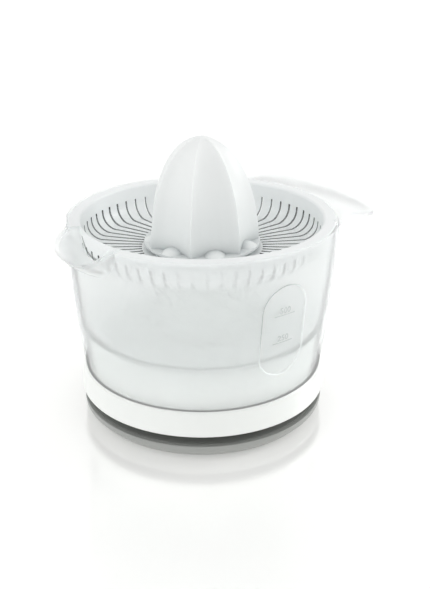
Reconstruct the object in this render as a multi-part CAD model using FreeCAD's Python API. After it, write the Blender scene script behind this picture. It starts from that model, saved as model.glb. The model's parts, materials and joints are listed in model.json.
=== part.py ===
import FreeCAD, Part
import math
import os

# An electric citrus press: a round motor base, a lift-off jug with a spout and a wing handle,
# a slotted juice sieve and a fluted reaming cone. Pressing the cone closes a switch under the
# drive shaft, and a small synchronous motor turns the cone through three pairs of gears.
#
# Frame: the origin is the centre of the base plate's underside, on the drive axis. +Z is up,
# +X points to the jug's handle and -X to its spout. Lengths are in millimetres.

V = FreeCAD.Vector
UP = V(0, 0, 1)

# ---------------------------------------------------------------- driving dimensions

# fits and gaps
RUN = 0.05               # radial gap of a shaft or pin that turns or slides in its bore
SEAT = 0.02              # radial gap of a pin or bush that is pressed in place
CLEAR = 0.3              # gap between pieces that move past each other
HEX_PLAY = 0.2           # gap at each flat of a hexagonal drive

# base plate, the lower grey ring and floor
BASE_R = 74.2
BASE_FOOT_R = 69.5
BASE_H = 8.3
BASE_WALL = 2.4
BASE_FLOOR = 2.2
FOOT_STAND = 1.0         # how far the feet stand out below the base plate
FOOT_R = 6.0
FOOT_CIRCLE = 60.0
FOOT_SINK = 0.8
FOOT_COUNT = 4
FOOT_START = 80.0

# spool that the mains lead is wound on, between base plate and housing
GROOVE_H = 7.0
GROOVE_R = 62.0
SPOOL_WALL = 2.2
SPOOL_FLANGE = 2.0
GLAND_R = 3.2
GLAND_BORE = 2.4
GLAND_ANGLE = 90.0
GLAND_FLANGE = 0.8

# motor housing: shell, drum and tower
SHELL_R = 75.2
SHELL_TOP_R = 73.5
SHELL_BULGE = 0.35
SHELL_H = 14.8
WALL = 2.2
DRUM_R = 69.6
DRUM_TOP_R = 69.0
DRUM_H = 17.5
DRUM_ROUND = 9.0
TOWER_R = 25.3
TOWER_TOP_R = 24.3
TOWER_GAP = 5.0          # from the tower's top to the underside of the sieve's floor
TOWER_ROUND = 7.0
NOSE_R = 9.2             # boss round the upper bush

# jug
JUG_H = 91.2
JUG_FOOT_R = 72.6
JUG_RIM_R = 80.0
JUG_BULGE = 1.2          # how far the wall's middle stands out from a straight cone
JUG_WALL = 2.0
JUG_FLOOR = 2.0
JUG_ROUND = 18.0         # inside radius where the wall turns into the floor
JUG_FLOOR_GAP = 1.0      # from the drum's top to the jug's floor
JUG_SKIRT_GAP = 0.9      # from the drum to the inside of the jug's skirt
RIM_BAND = 9.0
RIM_LIP = 1.4
LEDGE_IN = 1.8
CHIMNEY_GAP = 1.7
CHIMNEY_WALL = 1.6
CHIMNEY_DROP = 1.6       # from the sieve's floor down to the chimney's top

# spout
SPOUT_OUT = 13.4         # how far its uncut shape stands out from the rim
SPOUT_HALF = 27.0
SPOUT_DEPTH = 18.8
SPOUT_WALL = 1.8
SPOUT_DIP = 8.6          # from the rim down to the front of the lip
SPOUT_ROOT = 5.5         # from the rim's radius in to where the lip starts to dip
SPOUT_CORNER = 3.4       # from the front of the lip back to its corners
TROUGH_W = 20.0          # half width of the trough beside the sieve, at the rim's height
TROUGH_FLOOR = 12.3      # from the rim down to the trough's floor beside the sieve
TROUGH_RISE = 0.185      # rise of the floor towards the lip, per mm
TROUGH_FLARE = 0.0165    # widening of the trough towards the lip, per mm
TROUGH_GAP = 0.9         # from the sieve's wall to the trough's inner edge
# Half of the spout's plan outline: share of the tip's distance from the drive axis, share of the half width.
SPOUT_PLAN = ((0.65, 1.0), (0.85, 0.98), (0.94, 0.79), (0.985, 0.46), (1.0, 0.0))
# The scoop's outlines, downwards: drop from the rim, share of the tip's distance, share of the half width.
SPOUT_LEVELS = ((-3.0, 1.0, 1.0), (9.0, 0.97, 0.95), (15.0, 0.9, 0.82), (SPOUT_DEPTH, 0.835, 0.6))
# Half of the trough's cross-section: share of its half width, rise above its floor.
TROUGH_PROFILE = ((1.03, 16.0), (1.0, 12.3), (0.93, 8.4), (0.815, 5.0), (0.675, 2.7), (0.5, 1.1), (0.3, 0.25),
                  (0.0, 0.0))

# handle
HANDLE_OUT = 25.5
HANDLE_HALF = 51.5
HANDLE_NECK = 48.6
HANDLE_ROOT_ANGLE = 42.0
HANDLE_T = 2.4
HANDLE_DROOP = 3.6
HANDLE_CORNER = 7.0
HANDLE_FILLET = 4.0

# measuring window in the jug's wall
WINDOW_W = 28.8
WINDOW_H = 54.2
WINDOW_DEPTH = 0.7
WINDOW_STEP = 0.35       # depth of the step round the recess
WINDOW_EDGE = 0.8        # width of that step
WINDOW_DROP = 45.9       # from the rim down to the window's centre
WINDOW_ANGLE = -90.0

# sieve
SIEVE_DEPTH = 19.8
SIEVE_WALL = 1.5
SIEVE_IN = 9.0           # from the rim's radius in to the sieve's inside at the top
SIEVE_DRAFT = 1.4
SIEVE_FLANGE = 2.2
SIEVE_FILLET = 9.5
SLOT_COUNT = 60
SLOT_W = 1.6
SLOT_IN_R = 36.0
SLOT_TOP = 8.6           # from the rim down to the slots' upper ends
SPOUT_CUT_ANGLE = 19.0   # half angle over which the flange is cut back at the spout
SKIRT_H = 4.5
SKIRT_GAP = 1.4
SKIRT_WALL = 1.2
HUB_BORE = 9.0
HUB_WALL = 2.4
HUB_H = 4.0
TAB_W = 2.6
TAB_DEEP = 1.5
TAB_ANGLES = (-45.0, 135.0)

# cone
CONE_R = 33.4
CONE_H = 63.0
CONE_RIBS = 7
CONE_FLUTE = 0.80        # radius in the middle of a flute, as a share of the ridge's
CONE_WALL = 2.2
CONE_TURN = 17.9         # angle of the first ridge from +X
CONE_FOOT_R = 34.4
CONE_FOOT_H = 1.4
MOUND_AT = 28.0          # the mounds at the flutes' feet: distance from the drive axis
MOUND_R = 8.5
MOUND_H = 2.8

# drive through the hub: shaft, sleeve and cone hub
PRESS = 2.5              # travel of the press-down start
SHAFT_R = 4.0
SHAFT_HEX = 8.2
SHAFT_HEX_IN = 24.0      # how far the shaft's hexagon stands into the cone hub
SLEEVE_HEX = 14.0
SLEEVE_LIP = 1.5
SLEEVE_FLANGE_R = 12.5
SLEEVE_H = 19.0
CONE_HUB_WALL = 2.6
CONE_HUB_ROOF = 2.0
SOCKET_WALL = 1.6

# gear train: three equal stages
PINION_TEETH = 13
WHEEL_TEETH = 46
MODULES = (0.65, 0.75, 0.90)
BACKLASH = 0.14
PRESSURE_ANGLE = 25.0
ADDENDUM = 0.85
DEDENDUM = 1.1
MOTOR_X = -24.0          # rotor axis
SECOND_ANGLE = 120.0     # direction from the drive axis to the second gear
WHEEL_T = 2.5
AXLE_R = 1.5
GEAR_GAP = 0.8

# chassis plate and bridge plate
CHASSIS_Z = 27.6
CHASSIS_T = 2.2
CHASSIS_R = 52.0
BRIDGE_T = 1.8
BRIDGE_POST_R = 3.0
POST_R = 4.0
CHASSIS_POSTS = ((32.0, -20.0), (24.0, 38.0), (-20.0, -38.0), (-42.0, 38.0))
BRIDGE_POSTS = ((16.0, -22.0), (10.0, 31.0), (-52.0, 6.0))

# screws
SCREW_R = 1.5
SCREW_HEAD_R = 2.9
SCREW_HEAD_H = 2.0
BOSS_R = 4.5
BASE_SCREW_CIRCLE = 54.0
BASE_SCREW_START = 35.0
BASE_SCREW_COUNT = 4
BASE_BOSS_TOP = 12.0

# motor
CORE_Z = 9.5
CORE_T = 12.0
CORE_LEG = 10.0
CORE_HALF = 18.0
CORE_BACK = -55.0
CORE_YOKE = 9.0
ROTOR_R = 7.5
AIR_GAP = 0.6
POLE_REACH = 9.0         # from the rotor axis to the poles' front
POLE_SLOT = 4.0
COIL_WALL = 1.0
COIL_WIND = 4.0
COIL_MARGIN = 1.0
ROTOR_SHAFT_R = 1.5
ROTOR_BUSH_R = 3.5
ROTOR_BUSH_H = 3.0
BRACKET_T = 2.0
BRACKET_W = 12.0

# press-down start: plunger, spring, ball and switch
PLUNGER_R = 6.0
STEM_R = 3.0
HEAD_H = 6.0
HEAD_Z = 17.0
BALL_R = 2.0
GUIDE_WALL = 2.4
GUIDE_TOP = 9.0
SPRING_WIRE = 0.9
SPRING_TURNS = 4.0
ARM_W = 4.0
ARM_T = 2.5
ARM_REACH = 15.0
SWITCH_X = 11.0
SWITCH_L = 20.0
SWITCH_W = 6.4
SWITCH_H = 9.2
SWITCH_Z = 5.8
PIVOT_IN = 0.8           # from the switch's far end to the lever's pivot
LEVER_L = 17.8           # from the pivot to the tip, which the plunger's arm presses
LEVER_T = 0.6
LEVER_EYE = 1.0
BUTTON_ARM = 5.5
BUTTON_R = 1.2
TRUNNION_R = 0.6

# bushes of the drive shaft
BUSH_R = 7.0
BUSH_H = 8.0
LOW_BUSH_R = 6.5
SEAL_H = 1.8
CLIP_T = 0.8
CLIP_R = 6.2

# ---------------------------------------------------------------- levels and radii worked out

JUG_MID_R = (JUG_FOOT_R + JUG_RIM_R) / 2 + JUG_BULGE
HANDLE_R = JUG_RIM_R + HANDLE_OUT
SPOUT_TIP = JUG_RIM_R + SPOUT_OUT
SIEVE_IN_R = JUG_RIM_R - SIEVE_IN
SIEVE_OUT_R = SIEVE_IN_R + SIEVE_WALL
SHELL_Z = BASE_H + GROOVE_H
LEDGE_Z = SHELL_Z + SHELL_H
DRUM_Z = LEDGE_Z + DRUM_H
CEILING_Z = DRUM_Z - WALL
RIM_Z = LEDGE_Z + JUG_H
SIEVE_Z = RIM_Z - SIEVE_DEPTH
SIEVE_UNDER = SIEVE_Z - SIEVE_WALL
FLANGE_Z = RIM_Z - 0.2 - SIEVE_FLANGE
TOWER_Z = SIEVE_UNDER - TOWER_GAP
JUG_UNDER = DRUM_Z + JUG_FLOOR_GAP
JUG_BOTTOM = JUG_UNDER + JUG_FLOOR
CHIMNEY_IN = TOWER_R + CHIMNEY_GAP
CHIMNEY_R = CHIMNEY_IN + CHIMNEY_WALL
CHIMNEY_Z = SIEVE_UNDER - CHIMNEY_DROP
FLANGE_R = JUG_RIM_R - RIM_LIP - CLEAR
CONE_Z = SIEVE_Z + PRESS + CLEAR
SPOOL_TOP = SHELL_Z + SPOOL_FLANGE + CLEAR
CHASSIS_TOP = CHASSIS_Z + CHASSIS_T
CORE_TOP = CORE_Z + CORE_T

LOW_GEAR_Z = CHASSIS_TOP + GEAR_GAP
MID_GEAR_Z = LOW_GEAR_Z + WHEEL_T + GEAR_GAP
BRIDGE_Z = CEILING_Z - CLEAR - BRIDGE_T
TOP_GEAR_TOP = BRIDGE_Z - GEAR_GAP
PIVOT_X = SWITCH_X + SWITCH_L - PIVOT_IN
SWITCH_TOP = SWITCH_Z + SWITCH_H
LEVER_ANGLE = math.degrees(PRESS / LEVER_L)
SHAFT_Z = HEAD_Z + HEAD_H + 1.0

# ---------------------------------------------------------------- general helpers


def edge_points(points):
    """Corner (a, b), corner with radius (a, b, r), or ("via", a, b) for an arc to the next."""
    corners = []
    vias = {}
    for p in points:
        if p[0] == "via":
            vias[len(corners) - 1] = p[1:]
        else:
            corners.append(p)
    return corners, vias


def rounded_wire(points, place):
    """Closed wire through corners, rounded where a radius is given; place maps (a, b) to 3-D."""
    corners, vias = edge_points(points)
    count = len(corners)
    starts = []
    ends = []
    arcs = []
    for i, corner in enumerate(corners):
        here = V(corner[0], corner[1], 0)
        if len(corner) < 3:
            starts.append(here)
            ends.append(here)
            arcs.append(None)
            continue
        before = (V(*corners[i - 1][:2], 0) - here).normalize()
        after = (V(*corners[(i + 1) % count][:2], 0) - here).normalize()
        half = before.getAngle(after) / 2
        reach = corner[2] / math.tan(half)
        middle = (before + after).normalize() * (corner[2] / math.sin(half) - corner[2])
        starts.append(here + before * reach)
        ends.append(here + after * reach)
        arcs.append(here + middle)
    edges = []
    for i in range(count):
        following = (i + 1) % count
        if arcs[i]:
            edges.append(Part.Arc(place(starts[i]), place(arcs[i]), place(ends[i])).toShape())
        a, b = place(ends[i]), place(starts[following])
        if i in vias:
            edges.append(Part.Arc(a, place(V(*vias[i], 0)), b).toShape())
        elif a.distanceToPoint(b) > 1e-6:
            edges.append(Part.makeLine(a, b))
    return Part.Wire(edges)


def revolve(points, angle=360.0, start=0.0):
    """Turn an (r, z) outline about the drive axis."""
    face = Part.Face(rounded_wire(points, lambda p: V(p.x, 0, p.y)))
    face.rotate(V(), UP, start)
    return face.revolve(V(), UP, angle)


def prism(points, z0, z1):
    """Extrude an (x, y) outline from z0 to z1."""
    face = Part.Face(rounded_wire(points, lambda p: V(p.x, p.y, z0)))
    return face.extrude(V(0, 0, z1 - z0))


def rod(radius, z0, z1, x=0.0, y=0.0):
    return Part.makeCylinder(radius, z1 - z0, V(x, y, z0))


def tube(outer, inner, z0, z1, x=0.0, y=0.0):
    return rod(outer, z0, z1, x, y).cut(rod(inner, z0 - 1, z1 + 1, x, y))


def block(x0, x1, y0, y1, z0, z1):
    return Part.makeBox(x1 - x0, y1 - y0, z1 - z0, V(x0, y0, z0))


def hexagon(across_flats, z0, z1):
    """Upright hexagonal prism on the drive axis, with a flat towards +Y."""
    radius = across_flats / math.sqrt(3)
    corners = [(radius * math.cos(math.radians(60 * i)), radius * math.sin(math.radians(60 * i)))
               for i in range(6)]
    return prism(corners, z0, z1)


def polar(count, radius, start=0.0):
    """Centres of count features on a circle."""
    angles = [math.radians(start + 360.0 * i / count) for i in range(count)]
    return [(radius * math.cos(a), radius * math.sin(a)) for a in angles]


def turned(shape, angle, centre=(0.0, 0.0)):
    copy = shape.copy()
    copy.rotate(V(centre[0], centre[1], 0), UP, angle)
    return copy


def fuse_all(shapes):
    result = shapes[0].multiFuse(shapes[1:]) if len(shapes) > 1 else shapes[0]
    return result.removeSplitter()


def screw(x, y, head_z, tip_z, radius=SCREW_R, head_r=SCREW_HEAD_R, head_h=SCREW_HEAD_H):
    """Pan-head screw: the head's free face is at head_z and the tip at tip_z."""
    way = 1 if tip_z > head_z else -1
    seat = head_z + way * head_h
    head = rod(head_r, min(head_z, seat), max(head_z, seat), x, y)
    shank = rod(radius, min(head_z, tip_z), max(head_z, tip_z), x, y)
    recess = block(x - 0.4, x + 0.4, y - head_r, y + head_r,
                   min(head_z, head_z + way), max(head_z, head_z + way))
    return head.fuse(shank).cut(recess).removeSplitter()


# ---------------------------------------------------------------- jug wall as a function


def jug_radius(z):
    """Outer radius of the jug's curved wall: the circle through its three set points."""
    x1, y1 = JUG_FOOT_R, LEDGE_Z
    x2, y2 = JUG_MID_R, (LEDGE_Z + RIM_Z) / 2
    x3, y3 = JUG_RIM_R, RIM_Z - RIM_BAND
    if z >= y3:
        return JUG_RIM_R
    d = 2 * (x1 * (y2 - y3) + x2 * (y3 - y1) + x3 * (y1 - y2))
    s1, s2, s3 = x1 ** 2 + y1 ** 2, x2 ** 2 + y2 ** 2, x3 ** 2 + y3 ** 2
    cx = (s1 * (y2 - y3) + s2 * (y3 - y1) + s3 * (y1 - y2)) / d
    cy = (s1 * (x3 - x2) + s2 * (x1 - x3) + s3 * (x2 - x1)) / d
    radius = math.hypot(x1 - cx, y1 - cy)
    return cx + math.sqrt(radius ** 2 - (z - cy) ** 2)


# ---------------------------------------------------------------- gears


def involute(angle):
    return math.tan(angle) - angle


def gear(teeth, module, z0, z1, centre, tooth_angle):
    """Spur gear with straight-sided teeth inside the involute; one tooth at tooth_angle."""
    pitch = teeth * module / 2
    base = pitch * math.cos(math.radians(PRESSURE_ANGLE))
    root = pitch - DEDENDUM * module
    tip = pitch + ADDENDUM * module
    at_pitch = math.pi / (2 * teeth) - BACKLASH / (2 * pitch) + involute(math.radians(PRESSURE_ANGLE))

    def half_angle(radius):
        return at_pitch - involute(math.acos(min(1.0, base / radius)))

    corners = []
    for i in range(teeth):
        middle = math.radians(tooth_angle) + 2 * math.pi * i / teeth
        for radius, side in ((root, -1), (tip, -1), (tip, 1), (root, 1)):
            angle = middle + side * half_angle(radius)
            corners.append((centre[0] + radius * math.cos(angle), centre[1] + radius * math.sin(angle)))
    return prism(corners, z0, z1)


def gear_distance(stage):
    return MODULES[stage] * (PINION_TEETH + WHEEL_TEETH) / 2


def direction(start, end):
    return math.degrees(math.atan2(end[1] - start[1], end[0] - start[0]))


def gear_centres():
    """Axes of the rotor, first gear and second gear, worked out from the centre distances."""
    rotor = (MOTOR_X, 0.0)
    angle = math.radians(SECOND_ANGLE)
    second = (gear_distance(2) * math.cos(angle), gear_distance(2) * math.sin(angle))
    span = math.hypot(second[0] - rotor[0], second[1] - rotor[1])
    along = (gear_distance(0) ** 2 - gear_distance(1) ** 2 + span ** 2) / (2 * span)
    aside = math.sqrt(gear_distance(0) ** 2 - along ** 2)
    ux, uy = (second[0] - rotor[0]) / span, (second[1] - rotor[1]) / span
    first = (rotor[0] + ux * along - uy * aside, rotor[1] + uy * along + ux * aside)
    return rotor, first, second


ROTOR_AT, FIRST_AT, SECOND_AT = gear_centres()
DRIVE_AT = (0.0, 0.0)
HALF_TOOTH = 180.0 / PINION_TEETH

# ---------------------------------------------------------------- base


def base_plate():
    step_r = BASE_R - BASE_WALL - CLEAR - 2.0
    spool_z = BASE_H - SPOOL_FLANGE
    tray = revolve([(0, 0), (BASE_FOOT_R, 0, 1.5), (BASE_R, BASE_H - 3.5, 4.0), (BASE_R, BASE_H, 0.6),
                    (BASE_R - BASE_WALL, BASE_H), (BASE_R - BASE_WALL, spool_z), (step_r, spool_z),
                    (step_r, BASE_FLOOR + 1.0, 1.0), (step_r - 2.0, BASE_FLOOR), (0, BASE_FLOOR)])
    parts = [tray]
    holes = []
    for x, y in polar(BASE_SCREW_COUNT, BASE_SCREW_CIRCLE, BASE_SCREW_START):
        parts.append(rod(BOSS_R, 0, BASE_BOSS_TOP, x, y))
        holes.append(rod(SCREW_R + CLEAR, -1, BASE_BOSS_TOP + 1, x, y))
        holes.append(rod(SCREW_HEAD_R + CLEAR, -1, BASE_FLOOR + SCREW_HEAD_H, x, y))
    for x, y in polar(FOOT_COUNT, FOOT_CIRCLE, FOOT_START):
        holes.append(rod(FOOT_R + SEAT, -1, FOOT_SINK, x, y))
    parts.append(rod(STEM_R + GUIDE_WALL, 0, GUIDE_TOP))
    holes.append(rod(STEM_R + RUN, BASE_FLOOR, GUIDE_TOP + 1))
    parts += switch_cradle()
    holes += [switch_pin(x, SWITCH_W, SCREW_R + SEAT) for x in switch_pin_places()]
    return fuse_all(parts).cut(Part.makeCompound(holes))


def switch_pin_places():
    return (SWITCH_X + SWITCH_L * 0.22, SWITCH_X + SWITCH_L * 0.72)


def switch_pin(x, reach, radius):
    """Cross pin of the switch, along Y, reaching as far each side."""
    return Part.makeCylinder(radius, 2 * reach, V(x, -reach, SWITCH_Z + 2.6), V(0, 1, 0))


def switch_cradle():
    """Two ribs and a shelf on the base plate that hold the switch."""
    wall = 1.6
    x0, x1 = SWITCH_X + 1.5, SWITCH_X + SWITCH_L - 1.5
    half = SWITCH_W / 2 + SEAT
    shelf = block(x0, x1, -half - wall, half + wall, BASE_FLOOR - 0.5, SWITCH_Z)
    ribs = [block(x0, x1, side * half if side > 0 else -half - wall,
                  half + wall if side > 0 else -half, BASE_FLOOR - 0.5, SWITCH_Z + 5.2)
            for side in (-1, 1)]
    return [shelf] + ribs


def rubber_feet():
    pads = [rod(FOOT_R, -FOOT_STAND, FOOT_SINK, x, y) for x, y in polar(FOOT_COUNT, FOOT_CIRCLE, FOOT_START)]
    return Part.makeCompound(pads)


def base_screws():
    tip = BASE_BOSS_TOP + 10.0
    return Part.makeCompound([screw(x, y, BASE_FLOOR, tip)
                              for x, y in polar(BASE_SCREW_COUNT, BASE_SCREW_CIRCLE, BASE_SCREW_START)])


def cord_spool():
    low_r = BASE_R - BASE_WALL - CLEAR
    high_r = SHELL_R - WALL - CLEAR
    inner = GROOVE_R - SPOOL_WALL
    ring = revolve([(inner, BASE_H - SPOOL_FLANGE), (low_r, BASE_H - SPOOL_FLANGE), (low_r, BASE_H, 0.5),
                    (GROOVE_R, BASE_H), (GROOVE_R, SHELL_Z + CLEAR), (high_r, SHELL_Z + CLEAR, 0.5),
                    (high_r, SPOOL_TOP), (inner, SPOOL_TOP)])
    return ring.cut(gland_rod(GLAND_R + SEAT, inner - 2, GROOVE_R + 2))


def gland_rod(radius, start, end):
    """Round bar along the gland's direction, at the middle of the cord groove."""
    bar = Part.makeCylinder(radius, end - start, V(start, 0, BASE_H + GROOVE_H / 2), V(1, 0, 0))
    return turned(bar, GLAND_ANGLE)


def cord_gland():
    inner = GROOVE_R - SPOOL_WALL
    body = gland_rod(GLAND_R, inner - 2.0, GROOVE_R + 1.2)
    inside = gland_rod(GLAND_R + GLAND_FLANGE, inner - 2.0, inner - 0.6)
    bore = gland_rod(GLAND_BORE, inner - 3.0, GROOVE_R + 2.0)
    return body.fuse(inside).cut(bore).removeSplitter()


# ---------------------------------------------------------------- motor housing


def motor_housing():
    step_in = SHELL_R - WALL
    mid_z = (SHELL_Z + LEDGE_Z) / 2
    mid_r = (SHELL_R + SHELL_TOP_R) / 2 + SHELL_BULGE
    tower_in = TOWER_R - WALL
    bush_z = TOWER_Z - SEAL_H - BUSH_H
    outer = [(SHELL_R, SHELL_Z), ("via", mid_r, mid_z), (SHELL_TOP_R, LEDGE_Z - 1.0),
             (SHELL_TOP_R - 0.9, LEDGE_Z), (DRUM_R, LEDGE_Z), (DRUM_TOP_R, DRUM_Z, DRUM_ROUND),
             (TOWER_R, DRUM_Z, 4.0), (TOWER_TOP_R, TOWER_Z, TOWER_ROUND), (BUSH_R + SEAT, TOWER_Z)]
    inner = [(BUSH_R + SEAT, bush_z), (NOSE_R, bush_z), (NOSE_R, TOWER_Z - WALL),
             (TOWER_TOP_R - WALL, TOWER_Z - WALL, TOWER_ROUND - WALL), (tower_in, CEILING_Z),
             (DRUM_TOP_R - WALL, CEILING_Z, DRUM_ROUND - WALL), (DRUM_R - WALL, LEDGE_Z - WALL, 1.0),
             (step_in - 1.0, LEDGE_Z - WALL, 1.5), (step_in - 1.0, SPOOL_TOP), (step_in, SPOOL_TOP),
             (step_in, SHELL_Z)]
    parts = [revolve(outer + inner)]
    holes = []
    for x, y in polar(BASE_SCREW_COUNT, BASE_SCREW_CIRCLE, BASE_SCREW_START):
        parts.append(rod(BOSS_R, BASE_BOSS_TOP, CEILING_Z + 0.5, x, y))
        holes.append(rod(SCREW_R + SEAT, BASE_BOSS_TOP - 1, BASE_BOSS_TOP + 12, x, y))
    for x, y in CHASSIS_POSTS:
        parts.append(rod(POST_R, CHASSIS_TOP, CEILING_Z + 0.5, x, y))
        holes.append(rod(SCREW_R + SEAT, CHASSIS_TOP - 1, CHASSIS_TOP + 10, x, y))
    return fuse_all(parts).cut(Part.makeCompound(holes))


# ---------------------------------------------------------------- jug


def jug_body():
    inner_foot = DRUM_R + JUG_SKIRT_GAP
    floor_r = jug_radius(JUG_BOTTOM) - JUG_WALL
    band_z = RIM_Z - RIM_BAND
    wall_z = JUG_BOTTOM + JUG_ROUND + 2.0
    wall_r = jug_radius(wall_z) - JUG_WALL
    lean = math.atan2(wall_r - floor_r, wall_z - JUG_BOTTOM)
    turn_r = floor_r - JUG_ROUND / math.tan(math.pi / 4 + lean / 2)
    turn_z = JUG_BOTTOM + JUG_ROUND
    under = JUG_ROUND + JUG_FLOOR
    notch = math.acos((floor_r - turn_r) / under)
    middle = (math.pi / 2 + notch) / 2
    ledge_r = FLANGE_R + CLEAR - LEDGE_IN
    mid_z = (wall_z + band_z) / 2
    return revolve([
        (JUG_FOOT_R, LEDGE_Z), ("via", JUG_MID_R, (LEDGE_Z + RIM_Z) / 2), (JUG_RIM_R, band_z),
        (JUG_RIM_R, RIM_Z, 0.65), (JUG_RIM_R - RIM_LIP, RIM_Z, 0.65), (JUG_RIM_R - RIM_LIP, FLANGE_Z),
        (ledge_r, FLANGE_Z), (ledge_r, FLANGE_Z - 1.5), (JUG_RIM_R - JUG_WALL, band_z),
        ("via", jug_radius(mid_z) - JUG_WALL, mid_z), (wall_r, wall_z),
        (floor_r, JUG_BOTTOM, JUG_ROUND), (CHIMNEY_R, JUG_BOTTOM, 3.0), (CHIMNEY_R, CHIMNEY_Z, 0.6),
        (CHIMNEY_IN, CHIMNEY_Z, 0.6), (CHIMNEY_IN, JUG_UNDER), (turn_r, JUG_UNDER),
        ("via", turn_r + under * math.cos(middle), turn_z - under * math.sin(middle)),
        (floor_r, turn_z - under * math.sin(notch)), (inner_foot, LEDGE_Z)])


def spout_section(tip, half, z):
    """Rounded lobe in plan, open towards the drive axis, closed by a straight line."""
    right = [V(-u * tip, -share * half, z) for u, share in SPOUT_PLAN]
    left = [V(p.x, -p.y, z) for p in reversed(right[:-1])]
    curve = Part.BSplineCurve()
    curve.interpolate(right + left)
    return Part.Wire([curve.toShape(), Part.makeLine(left[-1], right[0])])


def jug_space():
    """The space inside the jug's wall, from its floor to above the rim."""
    low = JUG_BOTTOM
    high = RIM_Z - RIM_BAND
    mid = (low + high) / 2
    return revolve([(0, low), (jug_radius(low) - JUG_WALL, low), ("via", jug_radius(mid) - JUG_WALL, mid),
                    (JUG_RIM_R - JUG_WALL, high), (JUG_RIM_R - JUG_WALL, FLANGE_Z),
                    (JUG_RIM_R - RIM_LIP, FLANGE_Z), (JUG_RIM_R - RIM_LIP, RIM_Z + 10), (0, RIM_Z + 10)])


def spout_solid(inset):
    """Scoop of the spout; inset is how far its surface lies inside the outer one."""
    wires = [spout_section(SPOUT_TIP * tip - inset, SPOUT_HALF * half - inset, RIM_Z - drop + inset)
             for drop, tip, half in SPOUT_LEVELS]
    return Part.makeLoft(wires, True, False)


def lip_cutter():
    """Everything above the spout's lip, which dips at the root and runs level round the front."""
    lip_share = SPOUT_LEVELS[1][1]
    root = -(JUG_RIM_R - SPOUT_ROOT)
    corner = -(SPOUT_TIP * lip_share - SPOUT_CORNER)
    end = -(SPOUT_TIP + 3.0)
    low = RIM_Z - SPOUT_DIP
    back = root + 20.0
    top = RIM_Z + TROUGH_PROFILE[0][1]
    corners = [(back, RIM_Z), (root, RIM_Z), ("via", (root + corner) / 2 - 0.4, RIM_Z - SPOUT_DIP * 0.4),
               (corner, low), (end, low), (end, top), (back, top)]
    half = SPOUT_HALF + 10
    face = Part.Face(rounded_wire(corners, lambda p: V(p.x, -half, p.y)))
    return face.extrude(V(0, 2 * half, 0))


def trough_section(x, drop):
    """Cross-section of the trough at a distance x from the drive axis, lowered by drop."""
    out = x - SIEVE_OUT_R
    floor = RIM_Z - TROUGH_FLOOR + TROUGH_RISE * out - drop
    wide = TROUGH_W * (1 + TROUGH_FLARE * out)
    right = [V(-x, -share * wide, floor + rise) for share, rise in TROUGH_PROFILE]
    left = [V(p.x, -p.y, p.z) for p in reversed(right[:-1])]
    curve = Part.BSplineCurve()
    curve.interpolate(right + left)
    roof = [V(-x, left[-1].y, RIM_Z + 14), V(-x, right[0].y, RIM_Z + 14)]
    lines = [Part.makeLine(left[-1], roof[0]), Part.makeLine(roof[0], roof[1]), Part.makeLine(roof[1], right[0])]
    return Part.Wire([curve.toShape()] + lines)


def trough(drop, start, end):
    """Column over the trough's floor, between two distances from the drive axis."""
    return Part.makeLoft([trough_section(start, drop), trough_section(end, drop)], True, True)


def spout():
    """Outer scoop with a trough on top and a hollow, open to the jug, under the trough's floor."""
    inner = SIEVE_OUT_R + TROUGH_GAP
    hollow = spout_solid(SPOUT_WALL).fuse(jug_space())
    hollow = hollow.cut(trough(SPOUT_WALL, inner - 20, SPOUT_TIP + 10))
    solid = spout_solid(0.0).cut(rod(inner, 0, RIM_Z + 20))
    return solid.cut(hollow).cut(trough(0.0, inner - 20, SPOUT_TIP + 10))


def handle():
    """Wing plate flush with the rim, drooping outwards, with hollow sides and round corners."""
    root_r = JUG_RIM_R - 1.0
    far = HANDLE_R + 6
    mid = (root_r + far) / 2
    plate = revolve([(root_r, RIM_Z - HANDLE_T), ("via", mid, RIM_Z - HANDLE_T - HANDLE_DROOP * 0.36),
                     (far, RIM_Z - HANDLE_T - HANDLE_DROOP * 1.3), (far, RIM_Z - HANDLE_DROOP * 1.3),
                     ("via", mid, RIM_Z - HANDLE_DROOP * 0.36), (root_r, RIM_Z)], 110.0, -55.0)
    gusset = revolve([(root_r, RIM_Z - HANDLE_T - HANDLE_FILLET), (JUG_RIM_R, RIM_Z - HANDLE_T - HANDLE_FILLET),
                      ("via", JUG_RIM_R + HANDLE_FILLET * 0.3, RIM_Z - HANDLE_T - HANDLE_FILLET * 0.35),
                      (JUG_RIM_R + HANDLE_FILLET, RIM_Z - HANDLE_T - 0.2), (JUG_RIM_R + 1, RIM_Z - 1),
                      (root_r, RIM_Z - 1)], 110.0, -55.0)
    root = math.radians(HANDLE_ROOT_ANGLE)
    reach = JUG_RIM_R + 1.5
    root_x, root_y = reach * math.cos(root), reach * math.sin(root)
    corner_x = math.sqrt(HANDLE_R ** 2 - HANDLE_HALF ** 2)
    neck_x = (root_x + corner_x - HANDLE_CORNER) / 2
    outline = [(root_x * 0.66, -root_y * 0.55), (root_x, -root_y), ("via", neck_x, -HANDLE_NECK),
               (corner_x - HANDLE_CORNER, -HANDLE_HALF + 0.4),
               ("via", corner_x + 0.5, -HANDLE_HALF + 3.4), (corner_x + HANDLE_CORNER * 0.75, -HANDLE_HALF + 9.0),
               ("via", HANDLE_R, 0.0), (corner_x + HANDLE_CORNER * 0.75, HANDLE_HALF - 9.0),
               ("via", corner_x + 0.5, HANDLE_HALF - 3.4), (corner_x - HANDLE_CORNER, HANDLE_HALF - 0.4),
               ("via", neck_x, HANDLE_NECK), (root_x, root_y), (root_x * 0.66, root_y * 0.55)]
    column = prism(outline, RIM_Z - 20, RIM_Z + 5)
    return plate.fuse(gusset).common(column).removeSplitter()


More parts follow.
